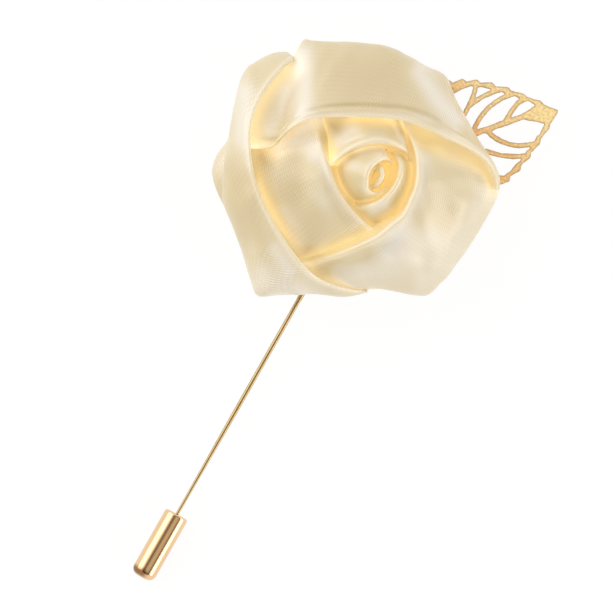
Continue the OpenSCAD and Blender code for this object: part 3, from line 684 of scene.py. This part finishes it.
def petal(name, node, rows, foot_r, foot_h, sag, tuck, over, folds=(), painted_tones=(),
          band=0.0, inside=0.0, roll_r=fold_r, weave_turn=0.0, weave_shows=1.0, seed=0):
    """One petal, in the rose's frame, in mm.

    foot_r, foot_h: how far out and how high it is stitched at the base
    sag: where its underside hangs, from 0 at the foot to 1 at the edge
    tuck: how far the inner wall leans in under the rim at its full depth
    over: the rims that rest on it, each with the reach and the strength of the painted yellow
    glow under it, and the strength of the painted plain light
    folds: soft ridges, each a height, a width and its points in plan
    tones: painted highlights or shade on the satin, each a strength, a width and its points
    band: the height of a rolled border along the rim
    inside: the painted yellow glow on a hidden underside
    roll_r: the radius of the fold along the rim
    weave_turn, weave_shows: the way the threads run, and how far they show
    """
    row = spline_rows(rows, rows_between)
    rim, edge = row[:, 0:2], row[:, 3:5]
    rim_z, edge_z = row[:, 2], row[:, 5]
    slope, depth, share = np.radians(row[:, 6]), row[:, 7], row[:, 8]
    width = np.linalg.norm(edge - rim, axis=1)
    out = unit(edge - rim)
    roll = np.minimum(roll_r, 0.3 * width)

    # across each section, from the rim outwards: the inner wall, the fold and the face
    down = np.linspace(1, 0, wall_steps + 1)[:-1]
    deep = depth[:, None] * down[None, :]
    wall = np.stack([-tuck * down[None, :] ** 1.5 * np.ones_like(depth)[:, None],
                     (rim_z - roll)[:, None] - deep], 2)
    turn = np.linspace(0, 1, roll_steps)[None, :]
    angle = pi - turn * (pi / 2 + slope[:, None])
    arc = np.stack([roll[:, None] * (1 + np.cos(angle)),
                    (rim_z - roll)[:, None] + roll[:, None] * np.sin(angle)], 2)
    start = arc[:, -1]
    end = np.stack([width, edge_z], 1)
    reach = 0.4 * (width - start[:, 0])
    drop = start[:, 1] - edge_z
    face_t = np.linspace(0, 1, face_steps + 1)[1:]
    face = bezier(start,
                  start + reach[:, None] * np.stack([np.cos(slope), -np.sin(slope)], 1),
                  end + np.stack([np.zeros_like(drop), 0.45 * drop], 1), end, face_t)
    upper = np.concatenate([wall, arc, face], 1)
    grid_up = np.zeros(upper.shape[:2] + (3,))
    grid_up[..., :2] = rim[:, None] + out[:, None] * upper[..., :1]
    grid_up[..., 2] = upper[..., 1]

    # from the edge back under to the foot
    foot = base_at + foot_r * unit(edge - base_at)
    mid = foot + sag * (edge - foot)
    fall = edge_z - foot_h
    level = lambda xy, z: np.concatenate([xy, z[:, None]], 1)
    under_t = np.linspace(0, 1, under_steps + 1)[1:]
    under = bezier(level(edge, edge_z), level(edge, edge_z - 0.6 * fall),
                   level(mid, foot_h + (0.5 - sag) * fall),
                   level(foot, np.full_like(edge_z, foot_h)), under_t)
    # the underside stops early where another petal carries this one
    last = under_steps - 1
    pick = share[:, None] * under_t[None, :] * under_steps - 1
    low = np.clip(np.floor(pick).astype(int), 0, last)
    part = np.clip(pick - low, -1, 1)[..., None]
    high = np.minimum(low + 1, last)
    index = np.arange(len(row))[:, None]
    edge_3d = level(edge, edge_z)[:, None, :]
    under = np.where(pick[..., None] < 0,
                     edge_3d + (under[:, :1] - edge_3d) * (pick[..., None] + 1),
                     under[index, low] + part * (under[index, high] - under[index, low]))
    grid = np.concatenate([grid_up, under], 1)

    m, n = grid.shape[:2]
    j_face = wall.shape[1] + arc.shape[1]
    j_edge = j_face + face.shape[1]
    s = np.linspace(0, 1, m)[:, None]
    normals = grid_normals(grid)
    lift = np.zeros((m, n))
    from_rim = np.cumsum(np.linalg.norm(np.diff(grid[:, j_face - 1:j_edge], axis=1), axis=2),
                         axis=1)
    ends = np.clip(np.minimum(s, 1 - s) / 0.06, 0, 1)
    fade = np.clip(from_rim / 1.2, 0, 1) * np.clip((from_rim[:, -1:] - from_rim) / 1.5, 0.2, 1)
    spots = grid[:, j_face:j_edge].reshape(-1, 3)
    for height, spread, line in folds:
        d, _ = away_from_line(spots, line)
        lift[:, j_face:j_edge] += height * np.exp(-(d / spread) ** 2).reshape(m, -1) * fade
    if band:
        shape = (np.exp(-((from_rim - ridge_at) / ridge_width) ** 2)
                 - np.exp(-((from_rim - groove_at) / groove_width) ** 2))
        lift[:, j_face:j_edge] += band * shape * ends
    # small lasting waves in the ribbon
    rng = np.random.default_rng(seed)
    midway = grid[:, j_face + 10]
    along = np.concatenate([[0], np.cumsum(np.linalg.norm(np.diff(midway, axis=0), axis=1))])
    along = along[:, None]
    for _ in range(wave_count):
        size = rng.uniform(3.0, 9.0)
        way = rng.uniform(-0.6, 0.6)
        phase = rng.uniform(0, 2 * pi)
        lift[:, j_face:j_edge] += (wave_height * size / 3 * fade
                                   * np.sin(2 * pi * (along + way * from_rim) / size + phase))
    # the ribbon is gathered where it is stitched at the base
    t_under = np.linspace(0, 1, n - j_edge)[None, :]
    pleats = np.sin(2 * pi * along / pleat_pitch + 1.2 * np.sin(along / 4.0))
    lift[:, j_edge:] += pleat_height * pleats * np.clip((t_under - 0.25) / 0.75, 0, 1) ** 1.3
    grid = grid + normals * lift[..., None]

    # painted yellow glow on the inner wall, more where the fold is deep, and painted glow and
    # plain light under the rims above
    painted_fold_glow = np.zeros((m, n))
    painted_fold_glow[:, :wall_steps] = ((0.4 + 0.4 * np.clip(deep / full_glow_depth, 0, 1)
                             + 0.3 * np.clip((deep - 2) / 2, 0, 1))
                            * np.clip(depth / full_glow_depth, 0.15, 1)[:, None])
    painted_fold_glow[:, j_edge:] = inside
    spots = grid.reshape(-1, 3)
    painted_spill = np.zeros((m, n))
    for line, reach_mm, strength, light in over:
        line = spline_rows([r[:3] for r in line], 6)
        d, high = away_from_line(spots, line)
        below = np.clip((high - spots[:, 2] + 0.5) / 1.5, 0, 1)
        painted_fold_glow = np.maximum(painted_fold_glow, (strength * below * np.exp(-(d / reach_mm) ** 2)
                                 ).reshape(m, n))
        painted_spill = np.maximum(painted_spill, (light * below * np.exp(-(d / (1.4 * reach_mm)) ** 2)
                                   ).reshape(m, n))
    # painted highlights and shade at the listed places
    painted_tone = np.zeros(m * n)
    for strength, spread, line in painted_tones:
        d, _ = away_from_line(spots, line)
        painted_tone += strength * np.exp(-(d / spread) ** 2)
    # a painted highlight along the fold of the rim, with a paler painted glow there
    painted_rim_light = np.zeros((m, n))
    painted_rim_light[:, :wall_steps] = np.exp(-deep / rim_light_inside)
    painted_rim_light[:, wall_steps:j_face] = 1
    painted_rim_light[:, j_face:j_edge] = np.exp(-from_rim / rim_light_outside)
    painted_fold_glow = painted_fold_glow * (1 - 0.85 * painted_rim_light) + 0.4 * painted_rim_light
    painted_tone = np.clip(painted_tone.reshape(m, n) + 0.9 * painted_rim_light, -1, 1)
    piece = satin_mesh(name, grid, painted_fold_glow, painted_tone, painted_spill, weave_turn, weave_shows)
    declare_satin(piece, node)


petal("back_petal", "petal_back_left", back_left_rows,
      foot_r=13.4, foot_h=0.4, sag=0.45, tuck=-0.1,
      over=[(outer_left_rows, 1.5, 0.2, 0.2)],
      painted_tones=[(0.35, 3.0, [(-22.5, 0.0), (-22.0, 4.0)]),
             (-0.4, 1.6, [(-22.6, -4.8), (-23.0, -3.2)])],
      weave_turn=40, seed=1)

petal("bud_petal", "bud_wrap", wrap_rows,
      foot_r=4.7, foot_h=3.3, sag=0.25, tuck=0.5,
      over=[(inner_left_rows, 0.9, 0.8, 1.2), (inner_top_rows, 0.6, 0.1, 1.2),
            (inner_right_rows, 0.9, 0.8, 0.9)],
      painted_tones=[(0.7, 1.2, [(-1.6, 1.0), (0.0, 0.2)]), (-0.4, 1.3, [(1.2, -0.8), (0.4, -3.0)]),
             (1.0, 0.9, [(0.6, 2.7), (2.5, 3.0), (5.2, 2.5)])],
      inside=1.2, weave_turn=15, weave_shows=0.25, seed=2)

petal("inner_right_petal", "petal_inner_right", inner_right_rows,
      foot_r=5.9, foot_h=3.3, sag=0.25, tuck=1.3,
      over=[(outer_right_rows, 1.5, 1.1, 0.4), (inner_left_rows, 1.0, 0.9, 0.3),
            (inner_top_rows, 0.8, 0.9, 0.3)],
      painted_tones=[(-0.2, 1.3, [(8.2, 0.0), (7.4, -3.4)]), (0.8, 1.1, [(5.2, -6.4), (2.4, -7.6)])],
      inside=1.3, weave_turn=60, weave_shows=0.35, seed=3)

petal("inner_top_petal", "petal_inner_top", inner_top_rows,
      foot_r=7.1, foot_h=3.3, sag=0.25, tuck=0.9,
      over=[(outer_top_rows, 1.2, 0.8, 0.8), (inner_left_rows, 1.6, 1.3, 1.3),
            (outer_right_rows, 1.2, 0.7, 0.4)],
      folds=[(-0.14, 0.45, [(-1.6, 4.0), (0.8, 4.8), (3.0, 5.2), (5.2, 5.2), (7.4, 4.4)])],
      painted_tones=[(1.0, 1.5, [(-2.4, 4.6), (-0.6, 6.4)]), (-0.45, 1.6, [(2.6, 6.6), (5.6, 6.2)]),
             (0.3, 0.9, [(3.0, 4.7), (6.6, 4.1)]), (0.8, 0.5, [(5.6, 8.2), (8.2, 4.2)])],
      inside=1.2, weave_turn=10, weave_shows=0.3, seed=4)

petal("inner_left_petal", "petal_inner_left", inner_left_rows,
      foot_r=8.3, foot_h=3.3, sag=0.25, tuck=1.2,
      over=[(outer_left_rows, 1.5, 0.5, 1.0), (outer_top_rows[3:], 1.5, 0.2, 1.6),
            (outer_right_rows, 2.0, 0.7, 1.0)],
      folds=[(0.35, 1.8, [(-6.2, -2.0), (-3.4, -6.5), (-0.5, -10.7)]),
             (-0.15, 2.0, [(-9.2, 3.0), (-9.2, -5.3)]),
             (-0.12, 0.4, [(-5.6, 1.2), (-3.9, -3.2), (-1.2, -7.6), (2.0, -10.6)])],
      painted_tones=[(0.45, 1.8, [(-7.2, -4.0), (-5.2, -5.4)]), (-0.4, 3.4, [(-10.6, -0.6), (-9.4, -4.5)]),
             (0.7, 1.5, [(-8.4, 5.4), (-7.0, 2.0)]), (0.5, 1.1, [(-6.6, 5.8), (-4.4, -1.8)]),
             (0.45, 1.4, [(-11.8, -7.0), (-9.2, -12.4)]),
             (0.9, 1.3, [(-6.4, 7.6), (-9.6, 4.8), (-12.4, 3.2)])],
      weave_turn=82, seed=5)

petal("outer_right_petal", "petal_outer_right", outer_right_rows,
      foot_r=9.5, foot_h=3.3, sag=0.28, tuck=1.4,
      over=[(outer_top_rows[10:-6], 3.4, 1.0, 0.1), (outer_top_rows[8:13], 1.4, 0.45, 1.2),
            (outer_top_rows[-6:-1], 2.2, 0.3, 1.4), (outer_left_rows, 1.2, 0.4, 1.1)],
      folds=[(-0.6, 1.4, [(-6.3, -17.8), (-1.7, -16.7), (2.8, -14.5), (6.2, -12.0)]),
             (0.2, 2.0, [(12.6, 1.5), (12.6, -8.5)]),
             (0.4, 2.2, [(18.3, -6.2), (14.2, -17.3)]),
             (-0.3, 1.4, [(1.8, -15.7), (2.8, -20.0)])],
      painted_tones=[(0.55, 1.8, [(11.0, 1.0), (10.2, -4.6), (6.2, -9.6)]),
             (-0.7, 1.5, [(-6.8, -14.8), (-1.5, -14.6), (1.4, -13.8)]),
             (0.8, 1.8, [(5.6, -13.6), (7.8, -11.2)]),
             (0.6, 3.2, [(-1.0, -17.8), (7.0, -16.5), (12.5, -12.5)]),
             (0.5, 2.0, [(21.5, -5.0), (17.0, -13.0)]),
             (-0.2, 2.4, [(15.5, -1.0), (15.0, -8.0)]),
             (0.5, 1.8, [(11.0, -19.5), (15.5, -16.0)])],
      roll_r=0.6, weave_turn=80, weave_shows=0.6, seed=6)

petal("outer_top_petal", "petal_outer_top", outer_top_rows,
      foot_r=10.7, foot_h=3.3, sag=0.32, tuck=-0.2,
      over=[(outer_left_rows[:-1], 1.8, 0.4, 2.0)],
      folds=[(0.45, 2.2, [(6.7, 18.0), (13.3, 12.5), (17.2, 7.7)]),
             (0.2, 0.8, [(4.0, 19.8), (12.7, 14.8)]),
             (0.35, 1.6, [(-7.5, 18.5), (-9.5, 10.0)])],
      painted_tones=[(1.0, 2.2, [(-8.8, 19.0), (-8.8, 9.6)]), (-0.65, 5.5, [(-1.0, 15.0), (4.5, 15.5)]),
             (0.7, 1.6, [(-12.0, 12.6), (-14.2, 6.4)]),
             (1.0, 1.8, [(10.4, 16.0), (14.2, 10.8), (16.8, 8.0)]),
             (-0.15, 1.6, [(18.0, 7.0), (15.4, 13.6)]),
             (0.4, 0.8, [(-4.0, 9.0), (7.0, 8.6), (12.4, 8.0)]),
             (-1.2, 1.3, [(-14.2, 3.2), (-12.8, 3.9)]),
             (-0.4, 1.1, [(0.5, 21.4), (5.5, 20.4)])],
      band=0.3, weave_turn=5, weave_shows=0.75, seed=7)

petal("outer_left_petal", "petal_outer_left", outer_left_rows,
      foot_r=11.9, foot_h=2.85, sag=0.45, tuck=-0.4,
      over=[],
      folds=[(0.4, 1.4, [(-18.0, -5.3), (-13.8, -19.5)]),
             (0.3, 1.2, [(-15.5, -13.7), (-9.2, -20.3)]),
             (0.3, 1.2, [(-17.5, 16.3), (-18.7, 3.0)])],
      painted_tones=[(0.8, 1.9, [(-18.2, 12.6), (-18.4, 1.0)]),
             (-1.0, 3.2, [(-20.4, 0.0), (-18.4, -10.5)]),
             (0.6, 2.6, [(-15.2, -18.6), (-9.5, -20.6)]),
             (0.6, 1.3, [(-13.4, -13.6), (-11.0, -17.0)])],
      weave_turn=40, weave_shows=1.1, seed=8)


# Clutch
# A bullet clutch of mirror polished, gold plated brass: a drawn cap with a round nose, and
# a lip rolled in at its mouth round a dished plate with the hole for the needle.

clutch_r = 2.1 * MM
clutch_l = 12.1 * MM
mouth_y = -64.9 * MM
axis_z = 2.1 * MM
nose_r = 1.3 * MM
lip_r = 0.45 * MM
lip_width = 0.3 * MM
# the lip's inner edge, the dished plate and the bore: each ring's width, and how far in it goes
mouth_rings = [(0.06 * MM, 0.12 * MM), (0.08 * MM, 0.7 * MM), (0.1 * MM, 0.1 * MM),
               (0.6 * MM, 0.12 * MM), (0.16 * MM, 7.2 * MM)]

pick_none()
bpy.ops.mesh.primitive_cylinder_add(vertices=128, radius=clutch_r, depth=clutch_l,
                                    location=(0, mouth_y - clutch_l / 2, axis_z),
                                    rotation=(radians(90), 0, 0))
clutch = bpy.context.object
clutch.name = "bullet_clutch"
apply_place(clutch)


def pick_end(obj, y):
    """Selects the faces of obj that lie flat at this y, in edit mode."""
    bm = bmesh.from_edit_mesh(obj.data)
    for part in (bm.verts, bm.edges, bm.faces):
        for item in part:
            item.select = False
    for face in bm.faces:
        if all(abs(v.co.y - y) < 0.001 * MM for v in face.verts):
            face.select_set(True)
    bmesh.update_edit_mesh(obj.data)


make_active(clutch)
bpy.ops.object.mode_set(mode="EDIT")
bpy.ops.mesh.select_mode(type="FACE")
pick_end(clutch, mouth_y - clutch_l)
bpy.ops.mesh.bevel(offset=nose_r, segments=12, profile=0.5, affect="EDGES")
pick_end(clutch, mouth_y)
bpy.ops.mesh.bevel(offset=lip_r, segments=8, profile=0.5, affect="EDGES")
pick_end(clutch, mouth_y)
bpy.ops.mesh.inset(thickness=lip_width)
for width, depth in mouth_rings:
    bpy.ops.mesh.inset(thickness=width)
    bpy.ops.transform.translate(value=(0, -depth, 0))
bpy.ops.object.mode_set(mode="OBJECT")
bpy.ops.object.shade_smooth_by_angle(angle=radians(50))

clutch_gold = polished_gold(
    "clutch_gold", light=(0.90, 0.63, 0.37, 1), deep=(0.84, 0.56, 0.31, 1),
    roughness=(0.12, 0.20), cloud_size=210, line_size=2600, bump=0.25)
# a painted dark reflection on one side of the nose
tree = clutch_gold.node_tree
shader = tree.nodes["Principled BSDF"]
plated = shader.inputs["Base Color"].links[0].from_socket
split = add_node(tree, "SeparateXYZ", {"Vector": object_place(tree)})
along, aside = split.outputs["Y"], split.outputs["X"]
nose = product(tree, mapped(tree, along, (mouth_y - 10.4 * MM, mouth_y - 11.1 * MM)),
               mapped(tree, aside, (0.9 * MM, 0.0)))
painted_dark_reflection = product(tree, nose, mapped(tree, along, (mouth_y - 12.1 * MM, mouth_y - 11.7 * MM),
                                    (0.25, 1)))
set_inputs(shader, {"Base Color": blended(tree, painted_dark_reflection, plated, (0.30, 0.165, 0.085, 1))})
dress(clutch, clutch_gold)
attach(clutch, "clutch")
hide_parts("pin_clutch")


# Floor, light and camera
# A plain white sweep, soft boxes on both sides with a darker ceiling between them, and a
# camera straight above with a long lens, turned as the photo is.

floor_side = 3.0
floor_z = -0.02 * MM

pick_none()
bpy.ops.mesh.primitive_plane_add(size=floor_side, location=(0, 0, floor_z))
floor = bpy.context.object
floor.name = "floor"
paper, tree, shader = new_material("white_paper")
set_inputs(shader, {
    "Base Color": (0.75, 0.75, 0.75, 1),
    "Roughness": 0.9,
    "Specular IOR Level": 0.1})
# seen by the camera, or in the metal, the sweep is as white as a lit table
table = add_node(tree, "Emission", {"Color": (1, 1, 1, 1), "Strength": 1.06})
seen = add_node(tree, "LightPath").outputs
direct = add_node(tree, "Math", {0: seen["Is Camera Ray"], 1: seen["Is Glossy Ray"]},
                  operation="ADD")
mixed = add_node(tree, "MixShader", {
    "Fac": product(tree, direct.outputs["Value"], 0.88),
    1: shader.outputs["BSDF"], 2: table.outputs["Emission"]})
set_inputs(tree.nodes["Material Output"], {"Surface": mixed.outputs["Shader"]})
dress(floor, paper)

# the sky leans to one side. It is white all round, with a darker ring overhead
sky_lean = radians(-19)
dark_sky = (0.22, 0.18, 0.14, 1)
world = bpy.data.worlds.new("studio")
bpy.context.scene.world = world
world.use_nodes = True
tree = world.node_tree
place = add_node(tree, "TexCoord").outputs["Generated"]
lean = add_node(tree, "Mapping", {"Vector": place, "Rotation": (0, sky_lean, 0)})
split = add_node(tree, "SeparateXYZ", {"Vector": lean.outputs["Vector"]})
ceiling = add_node(tree, "ValToRGB", {"Fac": split.outputs["Z"]})
set_ramp(ceiling, [(0.63, (1.0, 0.985, 0.96, 1)), (0.73, dark_sky), (0.92, dark_sky),
                   (0.985, (0.62, 0.56, 0.49, 1))])
set_inputs(tree.nodes["Background"], {"Color": ceiling.outputs["Color"], "Strength": 1.04})


box_distance = 0.8


def soft_box(name, turn, height, width, depth, watts, tint):
    """A soft light at this turn and height, in degrees, aimed at the pad."""
    data = bpy.data.lights.new(name, "AREA")
    data.shape = "RECTANGLE"
    data.size, data.size_y = width, depth
    data.energy = watts
    data.color = tint
    lamp = bpy.data.objects.new(name, data)
    bpy.context.scene.collection.objects.link(lamp)
    a, b = radians(turn), radians(height)
    lamp.location = (box_distance * cos(a) * cos(b), box_distance * sin(a) * cos(b),
                     box_distance * sin(b))
    lamp.rotation_euler = Vector(lamp.location).to_track_quat("Z", "Y").to_euler()


soft_box("left_box", turn=photo_turn + 150, height=30, width=0.8, depth=0.54, watts=1.72,
         tint=(1, 0.98, 0.95))
soft_box("left_high_box", turn=photo_turn + 150, height=57, width=0.8, depth=0.36,
         watts=0.36, tint=(1, 0.98, 0.95))
soft_box("right_box", turn=photo_turn - 25, height=21, width=0.8, depth=0.42, watts=2.45,
         tint=(1, 0.98, 0.96))

camera_data = bpy.data.cameras.new("camera")
camera = bpy.data.objects.new("camera", camera_data)
bpy.context.scene.collection.objects.link(camera)
bpy.context.scene.camera = camera
camera_distance = 3.0
frame_side = 0.102
sensor_side = 36
camera.location = (1.55 * MM, -24.02 * MM, camera_distance + 10 * MM)
camera.rotation_euler = (0, 0, radians(photo_turn))
camera_data.sensor_width = sensor_side
camera_data.lens = sensor_side * camera_distance / frame_side
camera_data.clip_end = 20

bpy.context.scene.view_settings.view_transform = "Standard"
bpy.context.scene.view_settings.look = "None"
